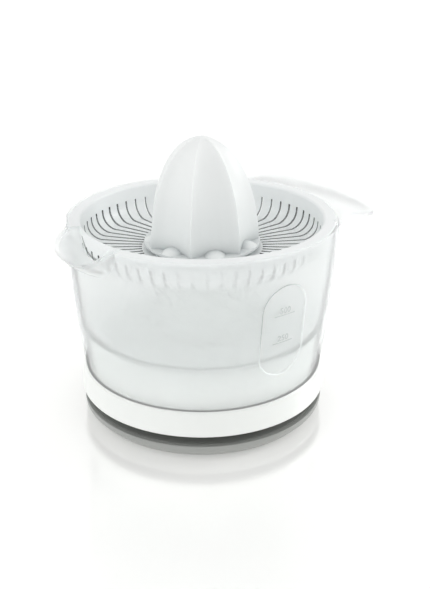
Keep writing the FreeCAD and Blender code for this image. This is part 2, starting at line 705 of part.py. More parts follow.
def stadium(width, height, y):
    """Upright stadium outline in the plane y, centred on the window."""
    half = width / 2
    low = RIM_Z - WINDOW_DROP - height / 2 + half
    high = low + height - width
    return rounded_wire([(-half, low), ("via", 0, low - half), (half, low), (half, high),
                         ("via", 0, high + half), (-half, high)], lambda p: V(p.x, y, p.y))


def window_cutter():
    """Shallow recess that follows the wall's curve, with one step round its edge."""
    middle = RIM_Z - WINDOW_DROP
    low, high = middle - WINDOW_H / 2 - 3.0, middle + WINDOW_H / 2 + 3.0
    far = JUG_RIM_R + 5.0
    steps = []
    for depth, grow in ((WINDOW_DEPTH, 0.0), (WINDOW_STEP, WINDOW_EDGE)):
        band = revolve([(jug_radius(low) - depth, low), ("via", jug_radius(middle) - depth, middle),
                        (jug_radius(high) - depth, high), (far, high), (far, low)])
        outline = Part.Face(stadium(WINDOW_W + 2 * grow, WINDOW_H + 2 * grow, -far))
        steps.append(band.common(outline.extrude(V(0, far / 2, 0))))
    return turned(steps[0].fuse(steps[1]), WINDOW_ANGLE + 90.0)


def sector(radius_in, radius_out, z0, z1, middle, half_angle):
    """Piece of a ring between two radii and two angles."""
    return revolve([(radius_in, z0), (radius_out, z0), (radius_out, z1), (radius_in, z1)],
                   2 * half_angle, middle - half_angle)


def tab_half_angle(width):
    return math.degrees(width / 2 / FLANGE_R)


def jug():
    mouth = spout_solid(SPOUT_WALL)
    body = jug_body().cut(mouth).fuse(spout())
    tabs = [sector(FLANGE_R - TAB_DEEP + CLEAR, JUG_RIM_R - 0.7, FLANGE_Z - 0.5, RIM_Z - 0.6, angle,
                   tab_half_angle(TAB_W)) for angle in TAB_ANGLES]
    body = body.multiFuse([handle()] + tabs)
    return body.cut(lip_cutter()).cut(window_cutter()).removeSplitter()


# ---------------------------------------------------------------- sieve


def sieve():
    out_floor = SIEVE_FILLET + SIEVE_WALL
    low_in = SIEVE_IN_R - SIEVE_DRAFT
    collar_z = SIEVE_Z - HUB_H
    collar_r = HUB_BORE + HUB_WALL
    skirt_r = CHIMNEY_R + SKIRT_GAP
    bowl = revolve([
        (HUB_BORE, collar_z), (collar_r, collar_z), (collar_r, SIEVE_UNDER), (skirt_r, SIEVE_UNDER),
        (skirt_r, SIEVE_UNDER - SKIRT_H), (skirt_r + SKIRT_WALL, SIEVE_UNDER - SKIRT_H),
        (skirt_r + SKIRT_WALL, SIEVE_UNDER), (low_in + SIEVE_WALL, SIEVE_UNDER, out_floor),
        (SIEVE_IN_R + SIEVE_WALL, FLANGE_Z), (FLANGE_R, FLANGE_Z), (FLANGE_R, FLANGE_Z + SIEVE_FLANGE, 0.8),
        (SIEVE_IN_R, FLANGE_Z + SIEVE_FLANGE, 1.4), (low_in, SIEVE_Z, SIEVE_FILLET), (HUB_BORE, SIEVE_Z)])
    slot = block(SLOT_IN_R, JUG_RIM_R, -SLOT_W / 2, SLOT_W / 2, SIEVE_UNDER - 1, RIM_Z - SLOT_TOP)
    slots = [turned(slot, 360.0 * (i + 0.5) / SLOT_COUNT) for i in range(SLOT_COUNT)]
    cuts = [sector(SIEVE_OUT_R - 0.1, JUG_RIM_R, FLANGE_Z - 1, RIM_Z + 1, 180.0, SPOUT_CUT_ANGLE)]
    cuts += [sector(FLANGE_R - TAB_DEEP, JUG_RIM_R, FLANGE_Z - 1, RIM_Z + 1, angle,
                    tab_half_angle(TAB_W + 2 * CLEAR)) for angle in TAB_ANGLES]
    return bowl.cut(Part.makeCompound(slots + cuts))


# ---------------------------------------------------------------- cone


def cone_section(radius, z):
    """Star of hollow arcs that meet in sharp ridges."""
    step = 2 * math.pi / CONE_RIBS
    edges = []
    for i in range(CONE_RIBS):
        a0 = math.radians(CONE_TURN) + i * step
        ends = [V(radius * math.cos(a), radius * math.sin(a), z) for a in (a0, a0 + step)]
        a_mid = a0 + step / 2
        middle = V(radius * CONE_FLUTE * math.cos(a_mid), radius * CONE_FLUTE * math.sin(a_mid), z)
        edges.append(Part.Arc(ends[0], middle, ends[1]).toShape())
    return Part.Wire(edges)


def cone_solid(radius, height, z0):
    """Fluted ogive: star sections whose ridges follow a quarter ellipse up to the apex."""
    shares = (0.0, 0.22, 0.43, 0.62, 0.78, 0.90, 0.97)
    wires = [cone_section(radius * math.sqrt(1 - s * s), z0 + height * s) for s in shares]
    top = cone_section(radius * 0.1, z0 + height)
    return Part.makeLoft(wires + [top], True, False)


def cone():
    outside = cone_solid(CONE_R, CONE_H, CONE_Z)
    inside = cone_solid(CONE_R - CONE_WALL, CONE_H - CONE_WALL - 1.0, CONE_Z - 0.01)
    socket_in = cone_hub_radius() + CLEAR
    socket_roof = cone_hub_top() + CLEAR
    foot = rod(CONE_FOOT_R, CONE_Z, CONE_Z + CONE_FOOT_H).cut(rod(CONE_R * CONE_FLUTE - CONE_WALL, 0, RIM_Z))
    mounds = []
    for x, y in polar(CONE_RIBS, MOUND_AT, CONE_TURN + 180.0 / CONE_RIBS):
        mound = Part.makeSphere(MOUND_R, V(x, y, CONE_Z + CONE_FOOT_H + MOUND_H - MOUND_R))
        mounds.append(mound.common(rod(CONE_FOOT_R, CONE_Z + 0.5, CONE_Z + CONE_H)))
    shell = outside.multiFuse([foot] + mounds).cut(inside)
    socket = rod(socket_in + SOCKET_WALL, CONE_Z + 2.0, RIM_Z + CONE_H).common(outside)
    bore = rod(socket_in, CONE_Z - 1, socket_roof)
    return shell.fuse(socket).cut(bore).removeSplitter()


def sleeve_top():
    return SIEVE_Z + SLEEVE_LIP + SLEEVE_H


def cone_hub_top():
    return sleeve_top() + PRESS + CLEAR + CONE_HUB_ROOF


def cone_hub_radius():
    return (SLEEVE_HEX / 2 + HEX_PLAY) * 2 / math.sqrt(3) + CONE_HUB_WALL


def cone_hub():
    """Inner hub of the cone, with the hexagonal socket that the sleeve drives."""
    low = SIEVE_Z + SLEEVE_LIP + CLEAR + PRESS + CLEAR
    roof = cone_hub_top() - CONE_HUB_ROOF
    body = rod(cone_hub_radius(), low, cone_hub_top())
    return body.cut(hexagon(SLEEVE_HEX + 2 * HEX_PLAY, low - 1, roof))


def drive_sleeve():
    """Sleeve held in the sieve's hub: hexagonal outside above, hexagonal bore for the shaft."""
    lip_z = SIEVE_Z + CLEAR
    low = SIEVE_Z - HUB_H - CLEAR
    body = rod(HUB_BORE - RUN, low, lip_z + 0.1)
    catch = rod(HUB_BORE + 1.0, low - 1.2, low)
    flange = rod(SLEEVE_FLANGE_R, lip_z, lip_z + SLEEVE_LIP)
    top = hexagon(SLEEVE_HEX, lip_z, sleeve_top())
    bore = hexagon(SHAFT_HEX + 2 * HEX_PLAY, low - 3, sleeve_top() + 1)
    return body.multiFuse([catch, flange, top]).cut(bore).removeSplitter()


# ---------------------------------------------------------------- drive shaft and its bearings


def drive_shaft():
    hex_z = TOWER_Z + PRESS + 0.4
    top = cone_hub_top() - CONE_HUB_ROOF
    round_part = rod(SHAFT_R, SHAFT_Z, hex_z + 0.2)
    drive_part = hexagon(SHAFT_HEX, hex_z, top)
    groove = tube(SHAFT_R + 1, SHAFT_R - 0.6, clip_z(), clip_z() + CLIP_T)
    flat = block(SHAFT_R - 0.8, SHAFT_R + 1, -SHAFT_R, SHAFT_R, hub_z(), clip_z() - 0.2)
    return round_part.fuse(drive_part).cut(groove).cut(flat).removeSplitter()


def clip_z():
    return TOP_GEAR_TOP - CLIP_T


def hub_z():
    return TOP_GEAR_TOP - CLIP_T - WHEEL_T - 1.0


def output_gear():
    phase = direction(DRIVE_AT, SECOND_AT)
    wheel = gear(WHEEL_TEETH, MODULES[2], clip_z() - WHEEL_T, clip_z(), DRIVE_AT, phase)
    hub = rod(SHAFT_R + 3.0, hub_z(), clip_z())
    bore = rod(SHAFT_R + SEAT, hub_z() - 1, clip_z() + 1)
    bore = bore.cut(block(SHAFT_R - 0.8 + SEAT, SHAFT_R + 1, -SHAFT_R, SHAFT_R, hub_z(), clip_z() - 0.2))
    return wheel.fuse(hub).cut(bore).removeSplitter()


def retaining_clip():
    ring = tube(CLIP_R, SHAFT_R - 0.6 + SEAT, clip_z(), clip_z() + CLIP_T)
    return ring.cut(block(0, CLIP_R + 1, -2.2, 2.2, clip_z() - 1, clip_z() + 2))


def upper_bush():
    top = TOWER_Z - SEAL_H
    return tube(BUSH_R, SHAFT_R + RUN, top - BUSH_H, top)


def shaft_seal():
    """Lip seal in the mouth of the tower."""
    return revolve([(SHAFT_R + 2 * RUN, TOWER_Z - SEAL_H), (BUSH_R, TOWER_Z - SEAL_H), (BUSH_R, TOWER_Z),
                    (SHAFT_R + 2.0, TOWER_Z), (SHAFT_R + 2 * RUN, TOWER_Z - SEAL_H + 0.7)])


def lower_bush():
    flange = tube(LOW_BUSH_R + 1.2, SHAFT_R + RUN, BRIDGE_Z + BRIDGE_T, CEILING_Z + 1.0)
    return flange.fuse(tube(LOW_BUSH_R, SHAFT_R + RUN, BRIDGE_Z, CEILING_Z)).removeSplitter()


# ---------------------------------------------------------------- gearbox


def chassis_plate():
    """Round plate that carries motor and gears, with gaps for the housing's bosses."""
    holes = []
    plate = rod(CHASSIS_R, CHASSIS_Z, CHASSIS_TOP)
    for x, y in polar(BASE_SCREW_COUNT, BASE_SCREW_CIRCLE, BASE_SCREW_START):
        holes.append(rod(BOSS_R + 1.0, CHASSIS_Z - 1, CHASSIS_TOP + 1, x, y))
    parts = [plate]
    for x, y in CHASSIS_POSTS:
        parts.append(rod(POST_R + 1.5, CHASSIS_Z, CHASSIS_TOP, x, y))
        holes.append(rod(SCREW_R + CLEAR, CHASSIS_Z - 1, CHASSIS_TOP + 1, x, y))
    for x, y in BRIDGE_POSTS:
        holes.append(rod(SCREW_R + CLEAR, CHASSIS_Z - 1, CHASSIS_TOP + 1, x, y))
    for x, y in motor_screw_places():
        parts.append(rod(SCREW_R + 2.2, CORE_TOP, CHASSIS_TOP, x, y))
        holes.append(rod(SCREW_R + SEAT, CORE_TOP - 1, CHASSIS_TOP + 1, x, y))
    parts.append(rod(ROTOR_BUSH_R + 1.6, CHASSIS_TOP - ROTOR_BUSH_H, CHASSIS_TOP, *ROTOR_AT))
    holes.append(rod(ROTOR_BUSH_R + SEAT, CHASSIS_TOP - ROTOR_BUSH_H - 1, CHASSIS_TOP + 1, *ROTOR_AT))
    holes.append(rod(SHAFT_R + 3.0, CHASSIS_Z - 1, CHASSIS_TOP + 1))
    for x, y in (FIRST_AT, SECOND_AT):
        holes.append(rod(AXLE_R + SEAT, CHASSIS_Z - 1, CHASSIS_TOP + 1, x, y))
    return fuse_all(parts).cut(Part.makeCompound(holes))


def chassis_screws():
    return Part.makeCompound([screw(x, y, CHASSIS_Z - SCREW_HEAD_H, CHASSIS_TOP + 8) for x, y in CHASSIS_POSTS])


def bridge_plate():
    """Plate above the gears, on three posts, that holds the axles' upper ends."""
    (ax, ay), (bx, by), (cx, cy) = BRIDGE_POSTS
    pad = BRIDGE_POST_R + 1.2
    outline = [(ax + pad, ay - pad, 3.0), (bx + pad + 5, by - 8, 3.0), (bx + pad, by + pad, 3.0),
               (FIRST_AT[0], FIRST_AT[1] + 9, 3.0), (cx - pad, cy + pad, 3.0), (cx - pad, cy - pad, 3.0),
               (ax - pad, ay - pad, 3.0)]
    parts = [prism(outline, BRIDGE_Z, BRIDGE_Z + BRIDGE_T)]
    holes = [rod(LOW_BUSH_R + SEAT, BRIDGE_Z - 1, BRIDGE_Z + BRIDGE_T + 1)]
    for x, y in BRIDGE_POSTS:
        parts.append(rod(BRIDGE_POST_R, CHASSIS_TOP, BRIDGE_Z + BRIDGE_T, x, y))
        holes.append(rod(SCREW_R + SEAT, CHASSIS_TOP - 1, CHASSIS_TOP + 8, x, y))
    for x, y in (FIRST_AT, SECOND_AT):
        holes.append(rod(AXLE_R + SEAT, BRIDGE_Z - 1, BRIDGE_Z + BRIDGE_T + 1, x, y))
    return fuse_all(parts).cut(Part.makeCompound(holes))


def bridge_screws():
    return Part.makeCompound([screw(x, y, CHASSIS_Z - SCREW_HEAD_H, CHASSIS_TOP + 6) for x, y in BRIDGE_POSTS])


def axle_pins():
    return Part.makeCompound([rod(AXLE_R, CHASSIS_Z, BRIDGE_Z + BRIDGE_T, x, y) for x, y in (FIRST_AT, SECOND_AT)])


def gear_cluster(stage, wheel_z, pinion_z0, pinion_z1, centre, ahead, behind):
    """Wheel and pinion in one piece: wheel driven from behind, pinion driving the one ahead."""
    wheel = gear(WHEEL_TEETH, MODULES[stage], wheel_z, wheel_z + WHEEL_T, centre, direction(centre, behind))
    pinion = gear(PINION_TEETH, MODULES[stage + 1], pinion_z0, pinion_z1, centre,
                  direction(centre, ahead) + HALF_TOOTH)
    neck = rod(AXLE_R + 1.2, CHASSIS_TOP + CLEAR, BRIDGE_Z - CLEAR, *centre)
    bore = rod(AXLE_R + RUN, CHASSIS_TOP, BRIDGE_Z, *centre)
    return wheel.multiFuse([pinion, neck]).cut(bore).removeSplitter()


def first_gear():
    top = MID_GEAR_Z + WHEEL_T + 0.4
    return gear_cluster(0, LOW_GEAR_Z, LOW_GEAR_Z + WHEEL_T, top, FIRST_AT, SECOND_AT, ROTOR_AT)


def second_gear():
    top = TOP_GEAR_TOP + 0.4
    return gear_cluster(1, MID_GEAR_Z, MID_GEAR_Z + WHEEL_T, top, SECOND_AT, DRIVE_AT, FIRST_AT)


# ---------------------------------------------------------------- motor


def stator_core():
    """U-shaped pack of laminations whose two poles reach round the rotor."""
    mx, my = ROTOR_AT
    front = mx + POLE_REACH
    inner_half = CORE_HALF - CORE_LEG
    outline = [(CORE_BACK, -CORE_HALF, 2.5), (front, -CORE_HALF), (front, CORE_HALF), (CORE_BACK, CORE_HALF, 2.5)]
    pack = prism(outline, CORE_Z, CORE_TOP)
    window = block(CORE_BACK + CORE_YOKE, mx - POLE_REACH, -inner_half, inner_half, CORE_Z - 1, CORE_TOP + 1)
    slot = block(mx - POLE_REACH - 1, front + 1, -POLE_SLOT / 2, POLE_SLOT / 2, CORE_Z - 1, CORE_TOP + 1)
    bore = rod(ROTOR_R + AIR_GAP, CORE_Z - 1, CORE_TOP + 1, mx, my)
    holes = [rod(SCREW_R + CLEAR, CORE_Z - 1, CORE_TOP + 1, x, y) for x, y in motor_screw_places()]
    return pack.cut(Part.makeCompound([window, slot, bore] + holes))


def motor_screw_places():
    inner_half = CORE_HALF - CORE_LEG
    y = (inner_half + CORE_HALF) / 2 + 2.2
    return ((MOTOR_X, y), (MOTOR_X, -y))


def coil_span():
    return CORE_BACK + CORE_YOKE + COIL_MARGIN, MOTOR_X - POLE_REACH - COIL_MARGIN


def leg_sleeve(grow_in, grow_out, x0, x1):
    """Box-shaped sleeve round one leg of the core, between two offsets from its faces."""
    inner_half = CORE_HALF - CORE_LEG

    def hull(grow, extra):
        return block(x0 - extra, x1 + extra, inner_half - grow, CORE_HALF + grow, CORE_Z - grow, CORE_TOP + grow)

    return hull(grow_out, 0.0).cut(hull(grow_in, 1.0))


def both_legs(shape):
    return Part.makeCompound([shape, shape.mirror(V(), V(0, 1, 0))])


def coil_bobbins():
    x0, x1 = coil_span()
    spool = leg_sleeve(SEAT, COIL_WALL, x0, x1)
    cheeks = [leg_sleeve(SEAT, COIL_WALL + COIL_WIND, x0, x0 + COIL_WALL),
              leg_sleeve(SEAT, COIL_WALL + COIL_WIND, x1 - COIL_WALL, x1)]
    return both_legs(spool.multiFuse(cheeks).removeSplitter())


def coil_windings():
    x0, x1 = coil_span()
    return both_legs(leg_sleeve(COIL_WALL + SEAT, COIL_WALL + COIL_WIND - 0.4, x0 + COIL_WALL + SEAT,
                                x1 - COIL_WALL - SEAT))


def bearing_bracket():
    """Strap under the core that carries the rotor's lower bush."""
    mx, my = ROTOR_AT
    half = CORE_HALF - 0.5
    strap = block(mx - BRACKET_W / 2, mx + BRACKET_W / 2, -half, half, CORE_Z - BRACKET_T, CORE_Z)
    boss = rod(ROTOR_BUSH_R + 1.6, CORE_Z - BRACKET_T - ROTOR_BUSH_H + 1.0, CORE_Z, mx, my)
    holes = [rod(SCREW_R + CLEAR, 0, CORE_Z + 1, x, y) for x, y in motor_screw_places()]
    holes.append(rod(ROTOR_BUSH_R + SEAT, 0, CORE_Z + 1, mx, my))
    return strap.fuse(boss).cut(Part.makeCompound(holes)).removeSplitter()


def motor_screws():
    head_z = CORE_Z - BRACKET_T - SCREW_HEAD_H
    return Part.makeCompound([screw(x, y, head_z, CHASSIS_TOP - 0.5) for x, y in motor_screw_places()])


def rotor_bushes():
    low_z = CORE_Z - BRACKET_T - ROTOR_BUSH_H + 1.0
    return Part.makeCompound([tube(ROTOR_BUSH_R, ROTOR_SHAFT_R + RUN, z, z + ROTOR_BUSH_H, *ROTOR_AT)
                              for z in (low_z, CHASSIS_TOP - ROTOR_BUSH_H)])


def rotor_shaft():
    low_z = CORE_Z - BRACKET_T - ROTOR_BUSH_H + 1.0
    return rod(ROTOR_SHAFT_R, low_z - 0.5, LOW_GEAR_Z + WHEEL_T + 0.3, *ROTOR_AT)


def magnet_rotor():
    low, high = CORE_Z + 0.6, CORE_TOP + 0.6
    magnet = tube(ROTOR_R, ROTOR_SHAFT_R + SEAT, low, high, *ROTOR_AT)
    collar = tube(ROTOR_SHAFT_R + 1.5, ROTOR_SHAFT_R + SEAT, high - 0.1, CHASSIS_TOP - ROTOR_BUSH_H - CLEAR,
                  *ROTOR_AT)
    return magnet.fuse(collar).removeSplitter()


def motor_pinion():
    pinion = gear(PINION_TEETH, MODULES[0], LOW_GEAR_Z - 0.3, LOW_GEAR_Z + WHEEL_T + 0.1, ROTOR_AT,
                  direction(ROTOR_AT, FIRST_AT) + HALF_TOOTH)
    return pinion.cut(rod(ROTOR_SHAFT_R + SEAT, 0, RIM_Z, *ROTOR_AT))


# ---------------------------------------------------------------- press-down start


def press_plunger():
    head = rod(PLUNGER_R, HEAD_Z, HEAD_Z + HEAD_H)
    stem = rod(STEM_R, BASE_FLOOR + PRESS + 0.5, HEAD_Z + 0.1)
    arm = block(0, ARM_REACH, -ARM_W / 2, ARM_W / 2, arm_z(), arm_z() + ARM_T)
    pocket = rod(BALL_R + SEAT, ball_z() - BALL_R, HEAD_Z + HEAD_H + 1)
    return head.multiFuse([stem, arm]).cut(pocket).removeSplitter()


def ball_z():
    return SHAFT_Z - RUN - BALL_R


def thrust_ball():
    return Part.makeSphere(BALL_R, V(0, 0, ball_z()))


def arm_z():
    """The arm's underside: just above the raised lever's tip."""
    return pivot_z() + LEVER_L * math.sin(math.radians(LEVER_ANGLE)) + LEVER_T / 2 + 2 * RUN


def press_spring():
    """Coil spring round the plunger's stem, between the guide and the plunger's head."""
    radius = STEM_R + SPRING_WIRE / 2 + 0.6
    low = GUIDE_TOP + SPRING_WIRE / 2 + 0.1
    high = HEAD_Z - SPRING_WIRE / 2 - 0.1
    helix = Part.makeHelix((high - low) / SPRING_TURNS, high - low, radius)
    half = SPRING_WIRE / 2
    corners = [V(radius + a, 0, b) for a, b in ((-half, -half), (half, -half), (half, half), (-half, half))]
    section = Part.makePolygon(corners + corners[:1])
    coil = Part.Wire(helix.Edges).makePipeShell([section], True, True)
    coil.translate(V(0, 0, low))
    return coil


def micro_switch():
    half = SWITCH_W / 2
    body = block(SWITCH_X, SWITCH_X + SWITCH_L, -half, half, SWITCH_Z, SWITCH_TOP)
    ears = [block(PIVOT_X - 1.4, SWITCH_X + SWITCH_L, y, y + 1.0, SWITCH_TOP - 0.1, pivot_z() + 1.3)
            for y in (-half, half - 1.0)]
    bore = Part.makeCylinder(TRUNNION_R + RUN, SWITCH_W + 2, V(PIVOT_X, -half - 1, pivot_z()), V(0, 1, 0))
    well = rod(BUTTON_R + RUN, SWITCH_TOP - 2.5, SWITCH_TOP + 1, PIVOT_X - BUTTON_ARM, 0)
    pins = [switch_pin(x, SWITCH_W, SCREW_R + SEAT) for x in switch_pin_places()]
    return body.multiFuse(ears).cut(Part.makeCompound([bore, well] + pins)).removeSplitter()


def pivot_z():
    return SWITCH_TOP + 0.2 + LEVER_T / 2


def switch_lever():
    """Flat lever with a rolled eye, built lying flat and then raised to its rest angle."""
    half = SWITCH_W / 2 - 1.0 - 0.2
    blade = block(PIVOT_X - LEVER_L, PIVOT_X, -half, half, SWITCH_TOP + 0.2, SWITCH_TOP + 0.2 + LEVER_T)
    eye = Part.makeCylinder(LEVER_EYE, 2 * half, V(PIVOT_X, -half, pivot_z()), V(0, 1, 0))
    eye = eye.common(block(0, PIVOT_X + 5, -half, half, SWITCH_TOP + 0.2, pivot_z() + 2))
    trunnion = Part.makeCylinder(TRUNNION_R, SWITCH_W, V(PIVOT_X, -SWITCH_W / 2, pivot_z()), V(0, 1, 0))
    lever = blade.multiFuse([eye, trunnion]).removeSplitter()
    lever.rotate(V(PIVOT_X, 0, pivot_z()), V(0, 1, 0), LEVER_ANGLE)
    return lever


def switch_button():
    rise = BUTTON_ARM * math.tan(math.radians(LEVER_ANGLE))
    top = SWITCH_TOP + 0.2 + rise - 0.35
    return rod(BUTTON_R, SWITCH_TOP - 1.5, top, PIVOT_X - BUTTON_ARM, 0)


def switch_screws():
    reach = SWITCH_W / 2 + 2.2
    pins = []
    for x in switch_pin_places():
        shank = switch_pin(x, reach, SCREW_R)
        head = Part.makeCylinder(SCREW_HEAD_R - 0.6, 1.2, V(x, reach - 0.1, SWITCH_Z + 2.6), V(0, 1, 0))
        pins.append(shank.fuse(head).removeSplitter())
    return Part.makeCompound(pins)


# ---------------------------------------------------------------- all nodes

NODES = {
    "base_plate": base_plate, "rubber_feet": rubber_feet, "base_screws": base_screws,
    "cord_spool": cord_spool, "cord_gland": cord_gland, "motor_housing": motor_housing,
    "chassis_plate": chassis_plate, "chassis_screws": chassis_screws, "bridge_plate": bridge_plate,
    "bridge_screws": bridge_screws, "axle_pins": axle_pins, "stator_core": stator_core,
    "coil_bobbins": coil_bobbins, "coil_windings": coil_windings, "bearing_bracket": bearing_bracket,
    "motor_screws": motor_screws, "rotor_bushes": rotor_bushes, "rotor_shaft": rotor_shaft,
    "magnet_rotor": magnet_rotor, "motor_pinion": motor_pinion, "first_gear": first_gear,
    "second_gear": second_gear, "output_gear": output_gear, "drive_shaft": drive_shaft,
    "retaining_clip": retaining_clip, "upper_bush": upper_bush, "lower_bush": lower_bush,
    "shaft_seal": shaft_seal, "press_plunger": press_plunger, "thrust_ball": thrust_ball,
    "press_spring": press_spring, "micro_switch": micro_switch, "switch_lever": switch_lever,
    "switch_button": switch_button, "switch_screws": switch_screws, "jug": jug, "sieve": sieve,
    "drive_sleeve": drive_sleeve, "cone_hub": cone_hub, "cone": cone,
}


def main():
    os.makedirs("parts", exist_ok=True)
    for name, make in NODES.items():
        shape = make()
        shape.exportStep("parts/" + name + ".step")
        print(name, len(shape.Solids), round(shape.Volume / 1000, 2), "cm3", shape.isValid())


main()
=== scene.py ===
import bpy
import bmesh
import json
import math
from mathutils import Matrix, Vector
from mathutils.bvhtree import BVHTree


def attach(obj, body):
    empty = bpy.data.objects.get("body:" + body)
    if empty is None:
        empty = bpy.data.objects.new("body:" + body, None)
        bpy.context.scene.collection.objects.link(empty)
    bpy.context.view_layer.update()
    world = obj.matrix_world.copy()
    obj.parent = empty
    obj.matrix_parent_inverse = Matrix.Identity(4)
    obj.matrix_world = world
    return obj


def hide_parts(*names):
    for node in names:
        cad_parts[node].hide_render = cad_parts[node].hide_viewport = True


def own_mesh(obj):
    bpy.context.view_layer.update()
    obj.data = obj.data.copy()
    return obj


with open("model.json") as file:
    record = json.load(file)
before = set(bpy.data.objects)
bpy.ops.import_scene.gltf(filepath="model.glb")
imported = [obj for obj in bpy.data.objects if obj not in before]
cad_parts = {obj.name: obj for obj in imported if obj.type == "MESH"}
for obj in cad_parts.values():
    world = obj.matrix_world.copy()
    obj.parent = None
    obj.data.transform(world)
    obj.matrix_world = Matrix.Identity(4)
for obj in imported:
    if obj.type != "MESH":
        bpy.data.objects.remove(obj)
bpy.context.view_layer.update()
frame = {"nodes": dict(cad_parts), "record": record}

# Looks of an electric citrus press. Lengths are in metres, in the frame of the CAD model:
# +Z is up along the drive axis, +X points to the handle, -X to the spout, -Y to the window.

NODES = frame["nodes"]

# ---------------------------------------------------------------- node trees and colours


def linear(red, green, blue):
    """Linear colour from 0-255 display values."""
    channels = []
    for value in (red, green, blue):
        c = value / 255
        channels.append(c / 12.92 if c <= 0.04045 else ((c + 0.055) / 1.055) ** 2.4)
    return (*channels, 1.0)


def scaled(colour, factor):
    return tuple(min(1.0, c * factor) for c in colour[:3]) + (1.0,)


class Tree:
    """A node tree with short ways to add and join nodes."""

    def __init__(self, node_tree):
        self.nodes = node_tree.nodes
        self.links = node_tree.links

    def add(self, kind, **settings):
        node = self.nodes.new(kind)
        for key, value in settings.items():
            setattr(node, key, value)
        return node

    def join(self, source, target):
        self.links.new(source, target)

    def feed(self, node, **terms):
        """Joins sockets to the named inputs, or gives these a plain value."""
        for key, term in terms.items():
            target = node.inputs[key.replace("_", " ")]
            if isinstance(term, bpy.types.NodeSocket):
                self.join(term, target)
            else:
                target.default_value = term

    def maths(self, operation, *terms):
        """Result of a maths node, from sockets or plain numbers."""
        node = self.add("ShaderNodeMath", operation=operation)
        for term, target in zip(terms, node.inputs):
            if isinstance(term, bpy.types.NodeSocket):
                self.join(term, target)
            else:
                target.default_value = term
        return node.outputs[0]

    def axes(self, vector):
        """The X, Y and Z outputs of a vector."""
        node = self.add("ShaderNodeSeparateXYZ")
        self.join(vector, node.inputs[0])
        return node.outputs

    def spread(self, factor, low, high, start=0.0, end=1.0):
        """Maps a factor from start-end to low-high."""
        node = self.add("ShaderNodeMapRange")
        self.feed(node, Value=factor, From_Min=start, From_Max=end, To_Min=low, To_Max=high)
        return node.outputs["Result"]

    def ramp(self, factor, stops):
        node = self.add("ShaderNodeValToRGB")
        elements = node.color_ramp.elements
        while len(elements) < len(stops):
            elements.new(0.5)
        for element, (at, colour) in zip(elements, stops):
            element.position = at
            element.color = colour
        self.join(factor, node.inputs["Fac"])
        return node.outputs["Color"]


class Shader(Tree):
    """A material's node tree round its principled shader."""

    def __init__(self, name):
        self.material = bpy.data.materials.new(name)
        self.material.use_nodes = True
        super().__init__(self.material.node_tree)
        self.principled = self.nodes["Principled BSDF"]
        self.place = None

    def set(self, **values):
        self.feed(self.principled, **values)

    def position(self):
        """The frame's own coordinates: every CAD object sits at the origin."""
        if self.place is None:
            self.place = self.add("ShaderNodeTexCoord").outputs["Object"]
        return self.place

    def noise(self, scale, detail=2.0):
        node = self.add("ShaderNodeTexNoise")
        self.feed(node, Scale=scale, Detail=detail, Vector=self.position())
        return node.outputs["Fac"]

    def wave(self, direction, scale, distortion):
        node = self.add("ShaderNodeTexWave", bands_direction=direction)
        self.feed(node, Scale=scale, Distortion=distortion, Vector=self.position())
        return node.outputs["Fac"]

    def bump(self, height, strength, distance):
        node = self.add("ShaderNodeBump")
        self.feed(node, Strength=strength, Distance=distance, Height=height)
        self.set(Normal=node.outputs["Normal"])

    def shade_crevices(self, colour, reach, closed, open_, below=None):
        """Painted shade: darkens the base colour where less than a share of the space within reach
        is open, all over or only below a height."""
        occlusion = self.add("ShaderNodeAmbientOcclusion", samples=CREVICE_SAMPLES)
        occlusion.inputs["Distance"].default_value = reach
        clear = self.spread(occlusion.outputs["AO"], 0.0, 1.0, closed, open_)
        if below is not None:
            higher = self.maths("GREATER_THAN", self.axes(self.position())["Z"], below)
            clear = self.maths("MAXIMUM", higher, clear)
        mix = self.add("ShaderNodeMix", data_type="RGBA")
        white = self.principled.inputs["Base Color"].links[0].from_socket
        mix.inputs["A"].default_value = colour
        self.join(clear, mix.inputs["Factor"])
        self.join(white, mix.inputs["B"])
        self.set(Base_Color=mix.outputs["Result"])


# ---------------------------------------------------------------- materials

# Scales of the patterns, per metre.
MOTTLE_SCALE = 38.0
GLOSS_SCALE = 420.0
GRAIN_SCALE = 2600.0
PEEL_SCALE = 170.0
TARNISH_SCALE = 120.0
METAL_GLOSS_SCALE = 900.0
BRUSH_SCALE = 3200.0
SHEET_SCALE = 320.0
SHEET_GLOSS_SCALE = 500.0
WIRE_SCALE = 700.0
WIRE_GLOSS_SCALE = 300.0

# Depths of the patterns.
GRAIN_DEPTH = 0.00005
PEEL_DEPTH = 0.0001
BRUSH_DEPTH = 0.00003
SHEET_DEPTH = 0.0001
WIRE_DEPTH = 0.0002

GLOSS_SPREAD = 0.12
METAL_GLOSS_SPREAD = 0.25
CREVICE_SAMPLES = 8

# Painted shade in the sieve's slots and on the cone's flutes: space that has to be open near a spot
# of the sieve or the cone, and below what height.
SLOT_REACH = 0.0024
SLOT_SHARES = (0.6, 0.88)
SLOTS_BELOW = 0.1172
FLUTE_REACH = 0.022
FLUTE_SHARES = (0.35, 0.9)


def moulded(name, colour, roughness, mottle=0.02, peel=0.0, grain=0.0):
    """Injection-moulded plastic: faint mottle, uneven gloss, and orange peel or a fine grain."""
    s = Shader(name)
    blotches = s.noise(MOTTLE_SCALE, 3.0)
    s.set(Base_Color=s.ramp(blotches, [(0.3, scaled(colour, 1 - mottle)), (0.7, colour)]))
    low, high = roughness * (1 - GLOSS_SPREAD), roughness * (1 + GLOSS_SPREAD)
    s.set(Roughness=s.spread(s.noise(GLOSS_SCALE), low, high))
    if grain:
        s.bump(s.noise(GRAIN_SCALE, 1.0), grain, GRAIN_DEPTH)
    elif peel:
        s.bump(s.noise(PEEL_SCALE, 1.0), peel, PEEL_DEPTH)
    return s


def plain(name, colour, roughness, **pattern):
    return moulded(name, linear(*colour), roughness, **pattern).material


